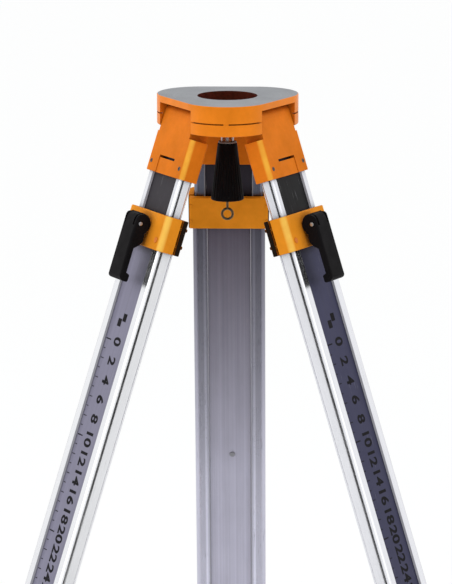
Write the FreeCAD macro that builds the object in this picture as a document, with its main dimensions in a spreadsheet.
import FreeCAD, Part
import math
import os

import Sketcher

# A surveyor's tripod: a head casting, three telescopic legs with clamps and
# pointed feet, and the instrument fixing screw on its swivel arm.
#
# Tripod frame: +Z up, origin at the centre of the head's top face.
# Leg frame: origin on the hinge axis, x along that axis, y out of the leg's
# outer face, z up the leg.
# Millimetres and degrees.  "half" sizes run from a centre line to one side.

Vector = FreeCAD.Vector
doc = FreeCAD.newDocument("SurveyorTripod")

DIMS = {
    # head casting: depths are below the top face
    "corner_rad": 43.5, "corner_out": 31.5, "hole_rad": 30.0, "rim_deep": 10.0,
    "rim_edge": 6.5, "rim_step": 35.0, "lobe_deep": 30.0, "cavity_rad": 47.0,
    "window_half": 32.0, "window_in": 20.0, "seam_top": 17.0, "seam_low": 18.4,
    "seam_depth": 3.0, "seam_bridge": 2.5, "edge_round": 0.8, "lobe_round": 1.2,
    "core_out_half": 5.0, "core_in_half": 4.0, "boss_rad": 7.4,
    # hinge
    "axis_rad": 44.1, "axis_drop": 18.0, "splay": 19.0, "axle_rad": 5.0,
    "axle_blind": 48.0, "axle_open": 46.5, "axle_gap": 0.3, "run_gap": 0.05,
    # leg head: a "level" is a distance down the leg from the hinge axis
    "knuckle_rad": 10.0, "knuckle_half": 31.2, "crown_half": 17.5, "crown_low": 7.2,
    "bush_rad": 6.5, "bush_in": 20.0, "flange_rad": 9.0, "flange_thick": 0.7,
    "shoulder_level": 21.0, "socket_half_width": 38.0, "lug_half_thick": 10.0,
    "socket_level": 61.8, "socket_roof": 28.0, "slit_half": 15.5, "slit_level": 45.1,
    "slit_half_high": 1.25, "tab_sink": 0.7, "head_screw_x": 29.0, "screw_level": 51.8,
    "lug_round": 6.0, "lug_back_round": 3.1,
    # inner (upper) leg profile
    "inner_half_width": 35.1, "inner_half_thick": 7.1, "inner_rail_x": 23.7,
    "inner_panel": 5.1, "inner_wall": 1.4, "inner_end": 906.0, "inner_round": 5.0,
    "guide_long": 15.0, "guide_plug": 20.0,
    # outer (lower) leg profile
    "outer_half_width": 37.0, "outer_half_thick": 9.0, "outer_rail_x": 21.5,
    "outer_panel": 7.0, "outer_wall": 1.6, "outer_top": 105.3, "outer_end": 961.0,
    "outer_round": 6.0,
    # clamp collar and strap
    "collar_top": 99.6, "collar_end": 135.3, "collar_half_width": 41.0,
    "collar_front": 13.0, "collar_split": -3.5, "collar_round": 6.5, "collar_edge": 1.2,
    "strap_top": -6.3, "strap_back": -12.0, "strap_round": 2.5, "strap_edge": 0.8,
    "slip": 0.05, "lip_gap": 0.3, "outer_cut": 3.4, "inner_cut": 2.4,
    "strap_screw_x": 39.1, "strap_screw_rad": 1.2, "strap_screw_in": 9.0,
    # lever, pin and pad
    "pivot_out": 25.0, "pivot_level": 114.8, "pin_rad": 1.8, "pin_half": 14.3,
    "pin_dome": 0.3, "pin_gap": 0.15, "ear_in": 7.8, "ear_out": 10.5, "ear_rad": 4.5,
    "ear_gap": 0.25, "lever_half_width": 12.8, "lever_face": 30.5, "lever_back": 24.5,
    "lever_end": 173.8, "lever_round": 2.6, "hook_in": 20.5, "cam_rad": 10.85,
    "cam_off": 0.6, "pad_half_width": 7.4, "pad_half_high": 5.4, "pad_face": 13.3,
    "pad_gap": 0.15, "window_gap": 0.8, "small_round": 0.6,
    # foot
    "foot_plug": 921.5, "foot_neck": 980.8, "foot_base": 1013.8, "tip_level": 1035.8,
    "foot_half_width": 38.5, "foot_half_thick": 10.5, "base_half": 13.0, "foot_round": 4.0,
    "step_level": 967.8, "step_reach": 33.0, "step_rad": 17.0, "step_half": 13.0,
    "step_thick": 6.0, "step_root": 9.0, "rib_half": 3.0, "spike_rad": 7.0,
    "spike_plug": 6.0, "point_rad": 9.5,
    # rivets and leg screws
    "rivet_rad": 1.6, "rivet_head": 2.7, "head_thick": 0.8, "screw_head": 2.1,
    "screw_head_thick": 0.5, "rivet_x": 30.5, "rivet_in": 10.0,
    "foot_rivet_x": 12.0, "foot_rivet_in": 12.0, "stop_x": 2.0, "stop_level": 412.8,
    # swivel arm
    "arm_azimuth": 210.0, "arm_pivot": 38.0, "arm_top": 14.0, "arm_low": 19.0,
    "arm_half": 15.0, "arm_eye": 8.0, "arm_shoulder": 22.0, "arm_reach": 14.0,
    "slot_half": 11.0, "slot_run": 12.0, "arm_screw_rad": 4.0, "arm_head_rad": 7.0,
    "arm_head_thick": 4.0, "hex_rad": 3.2,
    # centre screw, guide, knob and hook
    "thread_rad": 7.94, "neck_rad": 6.5, "thread_top": 10.2, "thread_low": 24.0,
    "thread_gap": 0.08, "shank_end": 98.0, "guide_low": 28.0, "guide_top": 12.2,
    "guide_rad": 14.0, "washer_rad": 9.2, "washer_thick": 1.5,
    "knob_top": 47.5, "knob_low": 105.0, "knob_rad_top": 9.75, "knob_rad_low": 16.5,
    "flute_rad": 4.2, "flute_out": 3.2, "hook_hole": 1.55, "hook_deep": 4.0,
    "hook_rad": 5.3, "hook_wire": 1.25, "hook_eye": 119.8,
}

OVER = 1       # overrun of cuts and overlap of joined solids
FIT = 0.02     # gap between parts fixed together

# leg name: (azimuth, end of the axle bore that is open, along the leg's x)
LEGS = {"rear": (90.0, 1), "left": (210.0, 1), "right": (330.0, -1)}
CORNERS = (270.0, 30.0, 150.0)    # azimuths of the head's corners


class Length:
    """A length that carries both its sheet expression and its value."""

    def __init__(self, text, value):
        self.text = text
        self.value = float(value)

    def __add__(self, other):
        other = as_length(other)
        return Length("(%s + %s)" % (self.text, other.text), self.value + other.value)

    def __radd__(self, other):
        return as_length(other) + self

    def __sub__(self, other):
        other = as_length(other)
        return Length("(%s - %s)" % (self.text, other.text), self.value - other.value)

    def __rsub__(self, other):
        return as_length(other) - self

    def __mul__(self, factor):
        return Length("(%s * %g)" % (self.text, factor), self.value * factor)

    __rmul__ = __mul__

    def __neg__(self):
        return self * -1


def as_length(number):
    if isinstance(number, Length):
        return number
    text = "%.6g" % number
    return Length(text, text)


class Dimensions:
    """The sheet's lengths, one attribute for each alias."""


dim = Dimensions()
sheet = doc.addObject("Spreadsheet::Sheet", "Dims")
for row, (alias, size) in enumerate(DIMS.items(), start=1):
    sheet.set("A%d" % row, alias)
    sheet.set("B%d" % row, "%g" % size)
    sheet.setAlias("B%d" % row, alias)
    setattr(dim, alias, Length("Dims." + alias, size))
doc.recompute()


# ---------------------------------------------------------------------------
# Numbers, spans and point lists
# ---------------------------------------------------------------------------
def cosd(angle):
    return round(math.cos(math.radians(angle)), 12)


def sind(angle):
    return round(math.sin(math.radians(angle)), 12)


def band(middle, half):
    return middle - half, middle + half


def both(half):
    return -half, half


def span(sign, low, high):
    """The span low to high, or its mirror image when sign is negative."""
    return (low, high) if sign > 0 else (-high, -low)


def pair(x, z):
    return [(-x, z), (x, z)]


def mirrored(half):
    """Points on the +x side, then their mirror images in reverse order."""
    return half + [(-x, y) for x, y in reversed(half)]


# ---------------------------------------------------------------------------
# Drawing in sketches, with every size bound to the sheet
# ---------------------------------------------------------------------------
def bind(sketch, length, kind, *where):
    index = sketch.addConstraint(Sketcher.Constraint(kind, *where, length.value))
    sketch.setExpression("Constraints[%d]" % index, length.text)


def bind_point(sketch, geometry, vertex, point):
    for kind, length in zip(("DistanceX", "DistanceY"), point):
        bind(sketch, as_length(length), kind, -1, 1, geometry, vertex)


def add_line(sketch, start, end):
    ends = [Vector(as_length(x).value, as_length(y).value, 0) for x, y in (start, end)]
    return sketch.addGeometry(Part.LineSegment(*ends), False)


def draw_loop(sketch, points):
    """A closed polygon."""
    count = len(points)
    lines = [add_line(sketch, points[i], points[(i + 1) % count]) for i in range(count)]
    for i in range(count):
        sketch.addConstraint(
            Sketcher.Constraint("Coincident", lines[i], 2, lines[(i + 1) % count], 1))
    for line, point in zip(lines, points):
        bind_point(sketch, line, 1, point)


def draw_circle(sketch, centre, radius):
    x, y, radius = [as_length(number) for number in (*centre, radius)]
    circle = Part.Circle(Vector(x.value, y.value, 0), Vector(0, 0, 1), radius.value)
    geometry = sketch.addGeometry(circle, False)
    bind(sketch, radius, "Radius", geometry)
    bind_point(sketch, geometry, 3, (x, y))


def draw_rounded_triangle(sketch, out, radius):
    """Three equal corner arcs joined by straight flats."""
    arcs = []
    ends = []
    for azimuth in CORNERS:
        for side in (azimuth - 60.0, azimuth + 60.0):
            ends.append((out * cosd(azimuth) + radius * cosd(side),
                         out * sind(azimuth) + radius * sind(side)))
        centre = Vector(out.value * cosd(azimuth), out.value * sind(azimuth), 0)
        circle = Part.Circle(centre, Vector(0, 0, 1), radius.value)
        middle = math.radians(azimuth)
        arc = Part.ArcOfCircle(circle, middle - math.pi / 3, middle + math.pi / 3)
        arcs.append(sketch.addGeometry(arc, False))
    flat_ends = [(ends[2 * k + 1], ends[(2 * k + 2) % 6]) for k in range(3)]
    flats = [add_line(sketch, start, end) for start, end in flat_ends]
    for k in range(3):
        sketch.addConstraint(Sketcher.Constraint("Coincident", arcs[k], 2, flats[k], 1))
        sketch.addConstraint(
            Sketcher.Constraint("Coincident", flats[k], 2, arcs[(k + 1) % 3], 1))
    for flat, (start, end) in zip(flats, flat_ends):
        bind_point(sketch, flat, 1, start)
        bind_point(sketch, flat, 2, end)
    for arc in arcs:
        bind(sketch, radius, "Radius", arc)


# ---------------------------------------------------------------------------
# Picking edges
# ---------------------------------------------------------------------------
def straight(edge, axis):
    """True for a straight edge along an axis."""
    if not isinstance(edge.Curve, (Part.Line, Part.LineSegment)):
        return False
    run = edge.Vertexes[-1].Point - edge.Vertexes[0].Point
    return abs(abs(getattr(run, axis)) - run.Length) < 1e-4 and run.Length > 1e-3


def level(edge):
    return edge.BoundBox.ZLength < 0.01


def mid(edge):
    return edge.CenterOfMass


def near(place, target):
    return abs(place - as_length(target).value) < 0.02


# ---------------------------------------------------------------------------
# Pieces
# ---------------------------------------------------------------------------
PIECES = []      # document objects to export
CUTS = []        # features that must remove material

# Sketch planes by the axis they lie across.  Sketch coordinates are (x, y)
# across z, (x, z) across y and (y, z) across x.
PLANES = {"z": "XY_Plane", "y": "XZ_Plane", "x": "YZ_Plane"}


class Piece:
    """One PartDesign body, built up from sketches bound to the sheet."""

    def __init__(self, label):
        self.label = label
        self.body = doc.addObject("PartDesign::Body", label)
        self.count = 0
        PIECES.append(self.body)

    def sketch(self, axis, offset, turned=0.0):
        """A sketch across an axis; turned swings a plane across x about z."""
        self.count += 1
        sketch = self.body.newObject("Sketcher::SketchObject",
                                     "%s_sk%d" % (self.label, self.count))
        plane = [feature for feature in self.body.Origin.OriginFeatures
                 if feature.Role == PLANES[axis]][0]
        sketch.AttachmentSupport = [(plane, "")]
        sketch.MapMode = "FlatFace"
        offset = as_length(offset)
        if axis == "y":
            offset = -offset     # the XZ plane's normal is -y
        if turned:
            shift_x = offset * sind(turned)
            shift_z = offset * cosd(turned)
            sketch.AttachmentOffset = FreeCAD.Placement(
                Vector(shift_x.value, 0, shift_z.value),
                FreeCAD.Rotation(Vector(0, 1, 0), turned))
            sketch.setExpression("AttachmentOffset.Base.x", shift_x.text)
            sketch.setExpression("AttachmentOffset.Base.z", shift_z.text)
        else:
            sketch.AttachmentOffset = FreeCAD.Placement(
                Vector(0, 0, offset.value), FreeCAD.Rotation())
            sketch.setExpression("AttachmentOffset.Base.z", offset.text)
        return sketch

    def extrude(self, axis, low, high, draw, cut=False, turned=0.0):
        """Adds or removes the drawn outline between low and high."""
        low, high = as_length(low), as_length(high)
        # pads run along the plane's normal, pockets against it
        sketch = self.sketch(axis, low if cut == (axis == "y") else high, turned)
        draw(sketch)
        kind, word = ("PartDesign::Pocket", "cut") if cut else ("PartDesign::Pad", "pad")
        feature = self.body.newObject(kind, "%s_%s%d" % (self.label, word, self.count))
        feature.Profile = sketch
        feature.Length = high.value - low.value
        feature.setExpression("Length", (high - low).text)
        if cut:
            CUTS.append(feature)
        return feature

    def poly(self, axis, points, low, high, cut=False, inner=None):
        def draw(sketch):
            draw_loop(sketch, points)
            if inner:
                draw_loop(sketch, inner)
        return self.extrude(axis, low, high, draw, cut)

    def box(self, x, y, z, cut=False):
        corners = [(x[0], y[0]), (x[1], y[0]), (x[1], y[1]), (x[0], y[1])]
        return self.poly("z", corners, z[0], z[1], cut)

    def disc(self, axis, centre, radius, low, high, cut=False, hole=None, turned=0.0):
        def draw(sketch):
            draw_circle(sketch, centre, radius)
            if hole is not None:
                draw_circle(sketch, centre, hole)
        return self.extrude(axis, low, high, draw, cut, turned)

    def drill(self, centres, radius, low, high):
        """Round holes along y, cut together."""
        def draw(sketch):
            for centre in centres:
                draw_circle(sketch, centre, radius)
        return self.extrude("y", low, high, draw, cut=True)

    def turn(self, points):
        """A solid of revolution about z; points are (radius, height)."""
        sketch = self.sketch("y", 0)
        draw_loop(sketch, points)
        feature = self.body.newObject("PartDesign::Revolution",
                                      "%s_turn%d" % (self.label, self.count))
        feature.Profile = sketch
        feature.ReferenceAxis = (sketch, ["V_Axis"])
        feature.Angle = 360.0

    def around(self, feature, times):
        """Repeats a feature evenly about z."""
        pattern = self.body.newObject("PartDesign::PolarPattern",
                                      "%s_polar%d" % (self.label, self.count))
        pattern.Originals = [feature]
        pattern.Axis = (feature.Profile[0], ["N_Axis"])
        pattern.Angle = 360.0
        pattern.Occurrences = times
        self.body.Tip = pattern

    def fillet(self, radius, pick):
        """Rounds the edges that pick(edge) accepts."""
        doc.recompute()
        tip = self.body.Tip
        names = ["Edge%d" % i for i, edge in enumerate(tip.Shape.Edges, start=1) if pick(edge)]
        if not names:
            raise RuntimeError("no edge to round on " + self.label)
        feature = self.body.newObject("PartDesign::Fillet",
                                      "%s_round%d" % (self.label, len(self.body.Group)))
        feature.Base = (tip, names)
        radius = as_length(radius)
        feature.Radius = radius.value
        feature.setExpression("Radius", radius.text)


# ---------------------------------------------------------------------------
# Head
# ---------------------------------------------------------------------------
def make_head():
    """A rounded triangle with a central opening and a lobe under each corner."""
    piece = Piece("head_casting")
    bottom = -dim.lobe_deep
    rim_bottom = -dim.rim_deep
    apex = dim.corner_out + dim.corner_rad
    beyond = 5         # overrun of the windows
    piece.extrude("z", bottom, 0, lambda sketch: draw_rounded_triangle(
        sketch, dim.corner_out, dim.corner_rad))
    piece.fillet(dim.edge_round, lambda edge: near(mid(edge).z, 0))
    piece.fillet(dim.lobe_round, lambda edge: near(mid(edge).z, bottom))
    piece.disc("z", (0, 0), dim.hole_rad, bottom - OVER, OVER, cut=True)
    piece.disc("z", (0, 0), dim.cavity_rad, bottom - OVER, rim_bottom, cut=True)

    # windows between the lobes, and a step under the rim above each
    window = piece.box(both(dim.window_half), (dim.window_in, apex + beyond),
                       (bottom - beyond, rim_bottom), cut=True)
    piece.around(window, 3)
    relief = piece.box(both(dim.window_half), (dim.rim_step, apex + beyond),
                       (rim_bottom - OVER, -dim.rim_edge), cut=True)
    piece.around(relief, 3)

    # seam groove round the lobes, bridged at each lobe's middle
    seam_over = 3
    bridge_sink = 0.15     # bridge face below the lobe's face
    bridge_lap = 0.1
    seam = piece.disc("z", (0, -dim.corner_out), dim.corner_rad + seam_over, -dim.seam_low,
                      -dim.seam_top, cut=True, hole=dim.corner_rad - dim.seam_depth)
    piece.around(seam, 3)
    bridge = piece.box(both(dim.seam_bridge),
                       (bridge_sink - apex, dim.seam_depth + OVER - apex),
                       (-dim.seam_low - bridge_lap, bridge_lap - dim.seam_top))
    piece.around(bridge, 3)

    # axle bores: right through one lobe, blind in the other
    for azimuth, open_side in LEGS.values():
        low, high = span(open_side, -dim.axle_blind, apex)
        piece.disc("x", (dim.axis_rad, -dim.axis_drop), dim.axle_rad + FIT, low, high,
                   cut=True, turned=azimuth - 90.0)

    # tapered pockets in the undersides of the lobes
    core_out_wall = 9
    core_in_wall = 3.5
    core_above_axis = 6
    core = piece.poly("z", mirrored([(dim.core_in_half, -dim.cavity_rad - core_in_wall),
                                     (dim.core_out_half, core_out_wall - apex)]),
                      bottom, core_above_axis - dim.axis_drop, cut=True)
    piece.around(core, 3)

    # boss for the swivel arm's pivot screw
    boss_clear = 0.1       # gap between boss and arm
    boss_lap = 0.5
    hole_deep = 7
    azimuth = dim.arm_azimuth.value
    boss = (dim.arm_pivot * -cosd(azimuth), dim.arm_pivot * -sind(azimuth))
    piece.disc("z", boss, dim.boss_rad, boss_clear - dim.arm_top, rim_bottom + boss_lap)
    piece.disc("z", boss, dim.arm_screw_rad + FIT, -dim.arm_top - OVER,
               rim_bottom + hole_deep, cut=True)


# ---------------------------------------------------------------------------
# Leg profiles and shared places, in the leg frame
# ---------------------------------------------------------------------------
# (half width, half thickness, x of the rail's inner edge, half thickness of the web)
INNER = (dim.inner_half_width, dim.inner_half_thick, dim.inner_rail_x, dim.inner_panel)
OUTER = (dim.outer_half_width, dim.outer_half_thick, dim.outer_rail_x, dim.outer_panel)

PIVOT_Z = -dim.pivot_level
PIVOT = (dim.pivot_out, PIVOT_Z)     # (y, z)

# (x, z) of screws and rivets
HEAD_SCREWS = pair(dim.head_screw_x, -dim.screw_level)
COLLAR_RIVETS = pair(dim.rivet_x, dim.rivet_in - dim.collar_end)
FOOT_RIVETS = pair(dim.foot_rivet_x, dim.foot_rivet_in - dim.outer_end)
STOP_RIVET = (dim.stop_x, -dim.stop_level)
COLLAR_SCREWS = [(sign * dim.strap_screw_x, z) for sign in (-1, 1)
                 for z in (-dim.collar_top - dim.strap_screw_in,
                           dim.strap_screw_in - dim.collar_end)]


def dogbone(profile, grow=(0, 0, 0, 0), chamfer=None):
    """A profile's corners, anticlockwise; grow is added to its four sizes."""
    rail_slope = 1.2     # run in x of the slope from rail to web
    width, thick, rail, web = [size + extra for size, extra in zip(profile, grow)]
    if chamfer is None:
        corner = [(width, thick)]
    else:
        corner = [(width, thick - chamfer), (width - chamfer, thick)]
    upper = mirrored(corner + [(rail + rail_slope, thick), (rail, web)])
    return upper + [(-x, -y) for x, y in upper]


def inside(wall, fit=0, rail_fit=0):
    """Growth that takes a profile to the inside of its wall, less a fit."""
    inset = -(wall + fit)
    return inset, inset, wall + rail_fit, inset


def make_profile(name, profile, wall, low, high, chamfer, radius):
    """A hollow extrusion: thick rails joined by a recessed web."""
    piece = Piece(name)
    piece.poly("z", dogbone(profile), low, high,
               inner=dogbone(profile, inside(wall), chamfer))
    piece.fillet(radius, lambda edge: straight(edge, "z")
                 and near(abs(mid(edge).x), profile[0])
                 and near(abs(mid(edge).y), profile[1]))
    return piece


def profile_bay(profile, gap, corner, mouth, sign=1):
    """The outer (sign 1) or back (-1) part of a profile's outline, open at y = mouth."""
    width, thick = profile[:2]
    return mirrored([(width + gap, mouth), (width + gap, sign * (thick - corner)),
                     (width - corner, sign * (thick + gap))])


# ---------------------------------------------------------------------------
# Leg pieces
# ---------------------------------------------------------------------------
def make_hinge_axle(side):
    """A plain pin, stopping short of its bore's blind end."""
    piece = Piece("hinge_axle_" + side)
    low, high = span(LEGS[side][1], dim.axle_gap - dim.axle_blind, dim.axle_open)
    piece.disc("x", (0, 0), dim.axle_rad, low, high)
    return piece


def make_leg_head(side):
    """Knuckle, shoulder and the socket that holds the inner profile."""
    piece = Piece("leg_head_" + side)
    thick = dim.lug_half_thick
    top = dim.knuckle_rad
    bottom = -dim.socket_level
    knuckle_flat = 0.1     # what the knuckle's round falls short of its radius
    mouth_round = 1.0
    piece.box(both(dim.knuckle_half), both(thick), (-dim.shoulder_level - OVER, top))
    piece.fillet(dim.knuckle_rad - knuckle_flat,
                 lambda edge: straight(edge, "x") and near(mid(edge).z, top))
    # the crown slopes down to both ends
    for sign in (-1, 1):
        middle_x = sign * dim.crown_half
        end_x = sign * (dim.knuckle_half + OVER)
        piece.poly("y", [(middle_x, top + OVER), (middle_x, top), (end_x, dim.crown_low),
                         (end_x, top + OVER)], -thick - OVER, thick + OVER, cut=True)
    piece.box(both(dim.socket_half_width), both(thick), (bottom, -dim.shoulder_level))
    for radius, face in ((dim.lug_round, thick), (dim.lug_back_round, -thick)):
        piece.fillet(radius, lambda edge: straight(edge, "z")
                     and near(abs(mid(edge).x), dim.socket_half_width)
                     and near(mid(edge).y, face))
    piece.fillet(mouth_round, lambda edge: near(mid(edge).z, bottom) and level(edge))

    # socket and bush bore
    piece.poly("z", dogbone(INNER, grow=(0.25, 0.2, -0.5, 0.1), chamfer=2.6),
               bottom, -dim.socket_roof, cut=True)
    piece.disc("x", (0, 0), dim.bush_rad, *both(dim.knuckle_half + OVER), cut=True)

    # slit in the outer wall, with a sunk tab below it
    slit = band(-dim.slit_level, dim.slit_half_high)
    piece.box(both(dim.slit_half), (dim.inner_panel, thick + OVER), slit, cut=True)
    piece.box(both(dim.slit_half), (thick - dim.tab_sink, thick + OVER),
              (bottom - OVER, slit[0] + OVER), cut=True)
    piece.drill(HEAD_SCREWS, dim.rivet_rad, dim.inner_half_thick, thick + OVER)
    return piece


def make_hinge_bushes(side):
    """A flanged bush in each end of the knuckle."""
    piece = Piece("hinge_bushes_" + side)
    bore = dim.axle_rad + dim.run_gap
    press_gap = 0.01
    end = dim.knuckle_half
    for sign in (-1, 1):
        piece.disc("x", (0, 0), dim.bush_rad - press_gap, *span(sign, dim.bush_in, end),
                   hole=bore)
        piece.disc("x", (0, 0), dim.flange_rad, *span(sign, end, end + dim.flange_thick),
                   hole=bore)
    return piece


def make_inner_profile(side):
    piece = make_profile("inner_profile_" + side, INNER, dim.inner_wall, -dim.inner_end,
                         -dim.socket_roof, chamfer=2.4, radius=dim.inner_round)
    piece.drill(HEAD_SCREWS, dim.rivet_rad, dim.inner_half_thick - dim.inner_wall - OVER,
                dim.inner_half_thick + OVER)
    return piece


def make_head_screws(side):
    """Heads on the leg head's outer face, shanks into the profile's rails."""
    piece = Piece("head_screws_" + side)
    reach = 0.4      # past the profile's wall
    face = dim.lug_half_thick
    for place in HEAD_SCREWS:
        piece.disc("y", place, dim.rivet_rad - FIT,
                   dim.inner_half_thick - dim.inner_wall - reach, face)
        piece.disc("y", place, dim.screw_head, face, face + dim.screw_head_thick)
    return piece


def make_inner_guide(side):
    """A plug at the inner profile's lower end, sliding in the outer profile."""
    piece = Piece("inner_guide_" + side)
    end = -dim.inner_end
    piece.poly("z", dogbone(INNER, grow=(0.12, 0.15, 0.3, 0.1), chamfer=3.2),
               end - dim.guide_long, end)
    piece.poly("z", dogbone(INNER, inside(dim.inner_wall, 0.1, 0.2), chamfer=2.6),
               end, end + dim.guide_plug)
    return piece


def make_outer_profile(side):
    """The lower extrusion, with a window for the clamp pad and rivet holes."""
    piece = make_profile("outer_profile_" + side, OUTER, dim.outer_wall, -dim.outer_end,
                         -dim.outer_top, chamfer=2.9, radius=dim.outer_round)
    thick = dim.outer_half_thick
    web_over = 0.5
    piece.box(both(dim.pad_half_width + dim.window_gap), (dim.inner_panel, thick + OVER),
              band(PIVOT_Z, dim.pad_half_high + dim.window_gap), cut=True)
    piece.drill(COLLAR_RIVETS, dim.rivet_rad, thick - dim.outer_wall - OVER, thick + OVER)
    piece.drill([STOP_RIVET], dim.rivet_rad, -thick,
                web_over + dim.outer_wall - dim.outer_panel)
    piece.drill(FOOT_RIVETS, dim.rivet_rad, *both(thick + OVER))
    return piece


def make_clamp_collar(side):
    """A block round the outer side of the profiles, with two ears for the pin."""
    piece = Piece("clamp_collar_" + side)
    front, split = dim.collar_front, dim.collar_split
    lip = -dim.outer_top
    piece.box(both(dim.collar_half_width), (split, front), (-dim.collar_end, -dim.collar_top))
    piece.fillet(dim.collar_round,
                 lambda edge: straight(edge, "z") and near(mid(edge).y, front))
    piece.fillet(dim.collar_edge,
                 lambda edge: level(edge) and mid(edge).y > split.value + 0.5)
    piece.poly("z", profile_bay(OUTER, dim.slip, dim.outer_cut, split - OVER),
               -dim.collar_end - OVER, lip, cut=True)
    piece.poly("z", profile_bay(INNER, dim.lip_gap, dim.inner_cut, split - OVER),
               lip, OVER - dim.collar_top, cut=True)

    # ears: (y, half height) from the root out to the pivot
    flank = [(front - 1, dim.ear_rad + 2), (front + 1, dim.ear_rad + 1),
             (dim.pivot_out, dim.ear_rad)]
    ear = [(y, PIVOT_Z - half) for y, half in flank]
    ear += [(y, PIVOT_Z + half) for y, half in reversed(flank)]
    for sign in (-1, 1):
        low, high = span(sign, dim.ear_in, dim.ear_out)
        piece.poly("x", ear, low, high)
        piece.disc("x", PIVOT, dim.ear_rad, low, high)
    piece.disc("x", PIVOT, dim.pin_rad + FIT, *both(dim.lever_half_width), cut=True)

    pad_over = 3
    screw_deep = 7
    piece.box(both(dim.pad_half_width + dim.pad_gap), (dim.inner_panel, front + pad_over),
              band(PIVOT_Z, dim.pad_half_high + dim.pad_gap), cut=True)
    piece.drill(COLLAR_RIVETS, dim.rivet_rad, dim.outer_half_thick - OVER, front + OVER)
    piece.drill(COLLAR_SCREWS, dim.strap_screw_rad, split - OVER, split + screw_deep)
    return piece


def make_clamp_strap(side):
    """The strap across the back of the profiles."""
    piece = Piece("clamp_strap_" + side)
    top, back = dim.strap_top, dim.strap_back
    lip = -dim.outer_top
    mouth_over = 2
    lip_lap = 0.01
    piece.box(both(dim.collar_half_width), (back, top), (-dim.collar_end, -dim.collar_top))
    piece.fillet(dim.strap_round,
                 lambda edge: straight(edge, "z") and near(mid(edge).y, back))
    piece.fillet(dim.strap_edge,
                 lambda edge: level(edge) and mid(edge).y < top.value - 0.3)
    piece.poly("z", profile_bay(OUTER, dim.slip, dim.outer_cut, top + mouth_over, sign=-1),
               -dim.collar_end - OVER, lip, cut=True)
    piece.box(both(dim.inner_half_width + dim.lip_gap),
              (-dim.inner_half_thick - dim.lip_gap, top + OVER),
              (lip - lip_lap, OVER - dim.collar_top), cut=True)
    piece.drill(COLLAR_SCREWS, dim.strap_screw_rad, back - OVER, top + OVER)
    return piece


def make_collar_screws(side):
    """Four screws that draw the strap to the collar."""
    piece = Piece("collar_screws_" + side)
    reach = 6          # into the collar
    head_over = 0.5    # head radius beyond the hole's
    head_thick = 0.6
    back = dim.strap_back
    for place in COLLAR_SCREWS:
        piece.disc("y", place, dim.strap_screw_rad - FIT, back, dim.collar_split + reach)
        piece.disc("y", place, dim.strap_screw_rad + head_over, back - head_thick, back)
    return piece


def make_clamp_lever(side):
    """Hub with an eccentric back, straight handle and hooked end."""
    piece = Piece("clamp_lever_" + side)
    half = dim.lever_half_width
    out, face, back, hook = dim.pivot_out, dim.lever_face, dim.lever_back, dim.hook_in
    hub = PIVOT_Z
    end = -dim.lever_end
    piece.disc("x", (out - dim.cam_off, hub), dim.cam_rad, *both(half))

    # handle outline (y, z): down the back, round the hooked end, up the face
    handle = [
        (out - 2, hub - 10), (17.4, hub - 9), (16.6, hub - 12), (16.9, hub - 17),
        (19.5, hub - 21), (back, hub - 25),
        (back, end + 9), (hook + 0.6, end + 7.6), (hook, end + 6.6), (hook, end + 1.5),
        (hook + 1.2, end), (face - 5, end), (face - 3.2, end + 0.45),
        (face - 1.6, end + 1.6), (face - 0.45, end + 3.2), (face, end + 5.2),
        (face, hub + 1), (out, hub + 1),
    ]
    piece.poly("x", handle, *both(half))

    # trim the hub flush with the face, then round the face's long edges
    piece.box((-20, 20), (face, 45), band(hub, 15), cut=True)
    piece.fillet(dim.lever_round, lambda edge: straight(edge, "z")
                 and near(mid(edge).y, face) and edge.Length > 30)

    # slots for the collar's ears (y, z)
    floor = hub - dim.ear_rad - 2.3
    slot = [(10, floor), (out + 4.7, floor), (out + 4.7, hub - 2.6),
            (40, hub - 2.6), (40, hub + 14), (10, hub + 14)]
    for sign in (-1, 1):
        low, high = span(sign, dim.ear_in - dim.ear_gap, dim.ear_out + dim.ear_gap)
        piece.poly("x", slot, low, high, cut=True)

    # waste beyond the curve from the top of the face to the hub (y, z)
    waste = [
        (out - 1.5, hub + 11.5), (out - 1, hub + 10), (out + 1.5, hub + 9.4),
        (out + 3.4, hub + 8.2), (out + 4.7, hub + 6.2), (face - 0.2, hub + 3.8),
        (face + 1, hub + 1.8), (face + 2, hub + 11.5),
    ]
    piece.poly("x", waste, *both(half + OVER), cut=True)
    piece.disc("x", PIVOT, dim.pin_rad + dim.run_gap, *both(half + OVER), cut=True)
    return piece


def make_lever_pin(side):
    """A pin with rounded heads beyond the lever's sides."""
    piece = Piece("lever_pin_" + side)
    head_over = 0.3      # head radius beyond the pin's
    neck = dim.lever_half_width + dim.pin_gap
    end = dim.pin_half - dim.pin_dome
    piece.disc("x", PIVOT, dim.pin_rad, *both(neck))
    for sign in (1, -1):
        piece.disc("x", PIVOT, dim.pin_rad + head_over, *span(sign, neck, end))
    piece.fillet(dim.small_round, lambda edge: near(abs(mid(edge).x), end)
                 and edge.BoundBox.XLength < 0.001)
    return piece


def make_clamp_pad(side):
    """The block between the lever's cam and the inner profile's web."""
    piece = Piece("clamp_pad_" + side)
    piece.box(both(dim.pad_half_width), (dim.inner_panel + FIT, dim.pad_face),
              band(PIVOT_Z, dim.pad_half_high))
    piece.fillet(dim.small_round,
                 lambda edge: straight(edge, "x") and near(mid(edge).y, dim.pad_face))
    return piece


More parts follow.
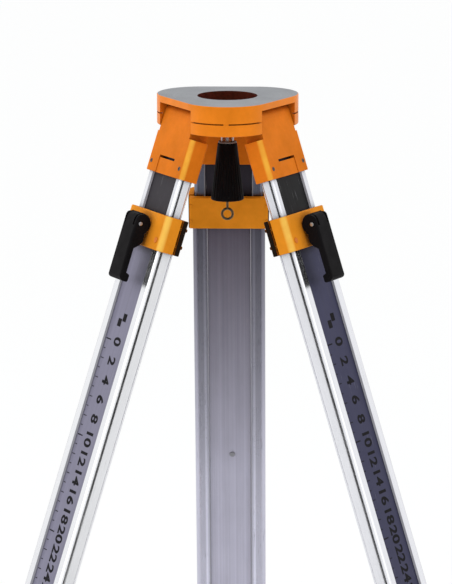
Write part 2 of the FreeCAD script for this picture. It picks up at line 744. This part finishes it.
def make_foot_shoe(side):
    """Plug, tapering body, and a tread with a rib below it."""
    piece = Piece("foot_shoe_" + side)
    width, thick = dim.foot_half_width, dim.foot_half_thick
    top = -dim.outer_end
    piece.poly("z", dogbone(OUTER, inside(dim.outer_wall, 0.15, 0.2), chamfer=3.1),
               top, -dim.foot_plug)
    piece.poly("y", mirrored([(dim.base_half, -dim.foot_base), (width, -dim.foot_neck),
                              (width, top)]), *both(thick))
    piece.fillet(dim.foot_round, lambda edge: straight(edge, "z")
                 and near(abs(mid(edge).x), width) and near(abs(mid(edge).y), thick))

    # tread, round at its outer end
    root, reach = dim.step_root, dim.step_reach
    step = -dim.step_level
    step_back = 2        # centre of the round end, in from the reach
    tread = (step - dim.step_thick, step)
    piece.box(both(dim.step_half), (root, reach), tread)
    piece.disc("z", (0, reach - step_back), dim.step_rad, *tread)
    rib = [(root, step - 5), (reach + 8, step - 5), (reach + 8, step - 7), (root, step - 34)]
    piece.poly("x", rib, *both(dim.rib_half))

    # point's bore and rivet holes
    rivet_reach = 11
    piece.disc("z", (0, 0), dim.spike_rad, -dim.foot_base - OVER,
               -dim.foot_neck - dim.spike_plug, cut=True)
    piece.drill(FOOT_RIVETS, dim.rivet_rad, *both(rivet_reach))
    return piece


def make_foot_point(side):
    """A collared point with a shank in the shoe's bore."""
    piece = Piece("foot_point_" + side)
    shank = dim.spike_rad - FIT
    top = -dim.foot_neck - dim.spike_plug
    base = -dim.foot_base
    tip = -dim.tip_level
    piece.turn([(0, top), (shank, top), (shank, base), (dim.point_rad, base),
                (dim.point_rad, base - 3), (8, base - 4.5),
                (1.5, tip + 0.8), (0.9, tip), (0, tip)])
    return piece


def make_rivets(side):
    """Rivets of the collar and shoe, and one at the stop hole in the back web."""
    piece = Piece("rivets_" + side)
    shank, head = dim.rivet_rad - FIT, dim.rivet_head
    front, web = dim.collar_front, dim.outer_panel
    for place in COLLAR_RIVETS:
        piece.disc("y", place, shank, dim.outer_half_thick - dim.outer_wall, front)
        piece.disc("y", place, head, front, front + dim.head_thick)
    for place in FOOT_RIVETS:
        piece.disc("y", place, shank, -web, web)
        piece.disc("y", place, head, web, web + dim.head_thick)
        piece.disc("y", place, head, -web - dim.head_thick, -web)
    piece.disc("y", STOP_RIVET, shank, -web, dim.outer_wall - web)
    piece.disc("y", STOP_RIVET, head, -web - dim.head_thick, -web)
    return piece


LEG_MAKERS = (
    make_hinge_axle, make_leg_head, make_hinge_bushes, make_inner_profile,
    make_head_screws, make_inner_guide, make_outer_profile, make_clamp_collar,
    make_clamp_strap, make_collar_screws, make_clamp_lever, make_lever_pin,
    make_clamp_pad, make_foot_shoe, make_foot_point, make_rivets,
)


def hinge_point(azimuth):
    radius = dim.axis_rad.value
    return Vector(radius * cosd(azimuth), radius * sind(azimuth), -dim.axis_drop.value)


def hinge_turn(azimuth):
    """The rotation that brings the leg frame's y to an azimuth."""
    return FreeCAD.Rotation(Vector(0, 0, 1), azimuth - 90.0)


def make_leg(side):
    """All of one leg's pieces, built upright and then splayed."""
    azimuth = LEGS[side][0]
    pieces = [make(side) for make in LEG_MAKERS]
    doc.recompute()
    splay = FreeCAD.Rotation(Vector(1, 0, 0), dim.splay.value)
    rotation = hinge_turn(azimuth).multiply(splay)
    for piece in pieces:
        piece.body.Placement = FreeCAD.Placement(hinge_point(azimuth), rotation)


# ---------------------------------------------------------------------------
# Instrument fixing screw.  The arm and its pivot screw are built along x and
# turned to the arm's azimuth at the end.
# ---------------------------------------------------------------------------
def make_swivel_arm():
    """A flat arm with an eye at its pivot and a long slot."""
    piece = Piece("swivel_arm")
    low, high = -dim.arm_low, -dim.arm_top
    half, reach = dim.arm_half, dim.arm_reach
    eye = (-dim.arm_pivot, 0)
    through = (low - OVER, high + OVER)
    piece.poly("z", [(eye[0], -dim.arm_eye), (-dim.arm_shoulder, -half), (reach, -half),
                     (reach, half), (-dim.arm_shoulder, half), (eye[0], dim.arm_eye)],
               low, high)
    piece.disc("z", eye, dim.arm_eye, low, high)
    piece.disc("z", (reach, 0), half, low, high)
    piece.box(both(dim.slot_run), both(dim.slot_half), through, cut=True)
    for x in (dim.slot_run, -dim.slot_run):
        piece.disc("z", (x, 0), dim.slot_half, *through, cut=True)
    piece.disc("z", eye, dim.arm_screw_rad + dim.run_gap, *through, cut=True)
    return piece


def make_arm_pivot_screw():
    """The screw in the head's boss, with a hexagon socket in its head."""
    piece = Piece("arm_pivot_screw")
    centre = (-dim.arm_pivot, 0)
    head_top = -dim.arm_low - 0.1
    screw_deep = 6.5      # above the rim's underside
    piece.disc("z", centre, dim.arm_screw_rad, head_top, screw_deep - dim.rim_deep)
    piece.disc("z", centre, dim.arm_head_rad, head_top - dim.arm_head_thick, head_top)
    hexagon = [(cosd(60 * k) * dim.hex_rad - dim.arm_pivot, sind(60 * k) * dim.hex_rad)
               for k in range(6)]
    piece.poly("z", hexagon, -dim.arm_low - 5, -dim.arm_low - 2, cut=True)
    return piece


def make_screw_guide():
    """The flanged sleeve that slides in the arm's slot from below."""
    bore = dim.thread_rad + dim.thread_gap
    neck = dim.neck_rad + 0.06
    sleeve = dim.slot_half - 0.1
    flange_top = -dim.arm_low - 0.1
    bevel = 1
    low, step = -dim.guide_low, -dim.thread_low
    Piece("screw_guide").turn([
        (bore, -dim.arm_top), (sleeve, -dim.arm_top), (sleeve, flange_top),
        (dim.guide_rad, flange_top), (dim.guide_rad, low + bevel),
        (dim.guide_rad - bevel, low), (neck, low), (neck, step), (bore, step)])


def make_guide_top_ring():
    bore = dim.thread_rad + dim.thread_gap
    low, high = 0.05 - dim.arm_top, -dim.guide_top
    bevel = 0.4
    Piece("guide_top_ring").turn([
        (bore, low), (dim.guide_rad, low), (dim.guide_rad, high - bevel),
        (dim.guide_rad - bevel, high), (bore, high)])


def make_thrust_washer():
    bore = dim.neck_rad + dim.run_gap
    low = -dim.knob_top
    high = low + dim.washer_thick
    Piece("thrust_washer").turn([
        (bore, low), (dim.washer_rad, low), (dim.washer_rad, high), (bore, high)])


def make_centre_screw():
    """The thread is drawn as rings at the 5/8 inch, 11 to the inch pitch."""
    pitch = 25.4 / 11
    lead = 1.6            # bevel at the top of the thread
    first = 1.9           # from the thread's top to the first groove
    runout = 0.2          # kept clear at the thread's foot
    groove_deep = 1.2
    foot_bevel = 0.4
    crest, neck = dim.thread_rad, dim.neck_rad
    top, low, end = -dim.thread_top, -dim.thread_low, -dim.shank_end
    outline = [(0, top), (crest - lead, top), (crest, top - lead)]
    grooves = int((top.value - low.value - runout - first) / pitch)
    for k in range(grooves):
        groove = top - (first + k * pitch)
        outline += [(crest, groove), (crest - groove_deep, groove - pitch * 0.42),
                    (crest, groove - pitch * 0.84)]
    outline += [(crest, low + foot_bevel), (crest - foot_bevel, low), (neck, low),
                (neck, end), (0, end)]
    Piece("centre_screw").turn(outline)


def make_knob():
    """A tapered knob on the screw's shank, fluted at its wide lower end."""
    piece = Piece("screw_knob")
    top, low, end = -dim.knob_top, -dim.knob_low, -dim.shank_end
    slim, wide = dim.knob_rad_top, dim.knob_rad_low
    top_bevel = 1
    low_bevel = 1.2
    piece.turn([
        (dim.neck_rad, top), (slim - top_bevel, top), (slim, top - top_bevel),
        (wide, low + low_bevel), (wide - low_bevel, low),
        (dim.hook_hole, low), (dim.hook_hole, low + dim.hook_deep),
        (0, low + dim.hook_deep), (0, end), (dim.neck_rad, end)])
    flute = piece.disc("z", (0, wide + dim.flute_out), dim.flute_rad, low + 2, low + 40,
                       cut=True)
    piece.around(flute, 12)


def make_plumb_hook():
    """A shank and a ring."""
    shank_low = dim.hook_eye - dim.hook_rad
    shank = doc.addObject("Part::Cylinder", "hook_shank")
    shank.setExpression("Radius", dim.hook_wire.text)
    shank.setExpression("Height", (shank_low - dim.knob_low + dim.hook_deep).text)
    shank.Placement.Base = Vector(0, 0, -shank_low.value)
    ring = doc.addObject("Part::Torus", "hook_ring")
    ring.setExpression("Radius1", dim.hook_rad.text)
    ring.setExpression("Radius2", dim.hook_wire.text)
    ring.Placement = FreeCAD.Placement(Vector(0, 0, -dim.hook_eye.value),
                                       FreeCAD.Rotation(Vector(1, 0, 0), 90))
    hook = doc.addObject("Part::Fuse", "plumb_hook")
    hook.Base = shank
    hook.Tool = ring
    PIECES.append(hook)


# ---------------------------------------------------------------------------
# Axle plugs
# ---------------------------------------------------------------------------
def head_prism(inset, deep):
    """The head's rounded triangle as a plain prism, drawn in by an inset."""
    radius, out = dim.corner_rad.value - inset, dim.corner_out.value
    edges = []
    arcs = []
    for azimuth in CORNERS:
        centre = Vector(out * cosd(azimuth), out * sind(azimuth), -deep)
        points = [centre + Vector(radius * cosd(angle), radius * sind(angle), 0)
                  for angle in (azimuth - 60, azimuth, azimuth + 60)]
        edges.append(Part.Arc(*points).toShape())
        arcs.append(points)
    for k in range(3):
        edges.append(Part.makeLine(arcs[k][-1], arcs[(k + 1) % 3][0]))
    wire = Part.Wire(Part.__sortEdges__(edges))
    return Part.Face(wire).extrude(Vector(0, 0, deep))


def make_axle_plugs():
    """Plugs in the open ends of the axle bores, just inside the head's outline."""
    stock = 20           # length before trimming
    solids = []
    for azimuth, open_side in LEGS.values():
        plug = Part.makeCylinder(dim.axle_rad.value, stock,
                                 Vector(open_side * dim.axle_open.value, 0, 0),
                                 Vector(open_side, 0, 0))
        plug.Placement = FreeCAD.Placement(hinge_point(azimuth), hinge_turn(azimuth))
        solids += plug.common(head_prism(inset=0.5, deep=40)).Solids
    plugs = doc.addObject("Part::Feature", "axle_plugs")
    plugs.Shape = Part.makeCompound(solids)
    PIECES.append(plugs)


def export_pieces():
    """Stops at any failed object, idle cut or bad shape, then writes the STEP files."""
    failed = [item.Name for item in doc.Objects
              if "Invalid" in item.State or "Error" in item.State]
    if failed:
        raise RuntimeError("failed objects: " + ", ".join(failed))
    for cut in CUTS:
        base = cut.BaseFeature
        if base is None or cut.Shape.Volume > base.Shape.Volume - 1e-3:
            raise RuntimeError("a cut removed nothing: " + cut.Name)
    os.makedirs("parts", exist_ok=True)
    for item in PIECES:
        shape = item.Shape
        if shape.isNull() or not shape.isValid() or not shape.Solids:
            raise RuntimeError("bad shape: " + item.Label)
        solids = shape.Solids
        result = solids[0] if len(solids) == 1 else Part.makeCompound(solids)
        result.exportStep("parts/%s.step" % item.Label)


make_head()
for leg_name in LEGS:
    make_leg(leg_name)
arm_pieces = [make_swivel_arm(), make_arm_pivot_screw()]
make_screw_guide()
make_guide_top_ring()
make_thrust_washer()
make_centre_screw()
make_knob()
make_plumb_hook()
doc.recompute()
arm_turn = FreeCAD.Rotation(Vector(0, 0, 1), dim.arm_azimuth.value)
for arm_piece in arm_pieces:
    arm_piece.body.Placement = FreeCAD.Placement(Vector(0, 0, 0), arm_turn)
make_axle_plugs()
doc.recompute()
export_pieces()
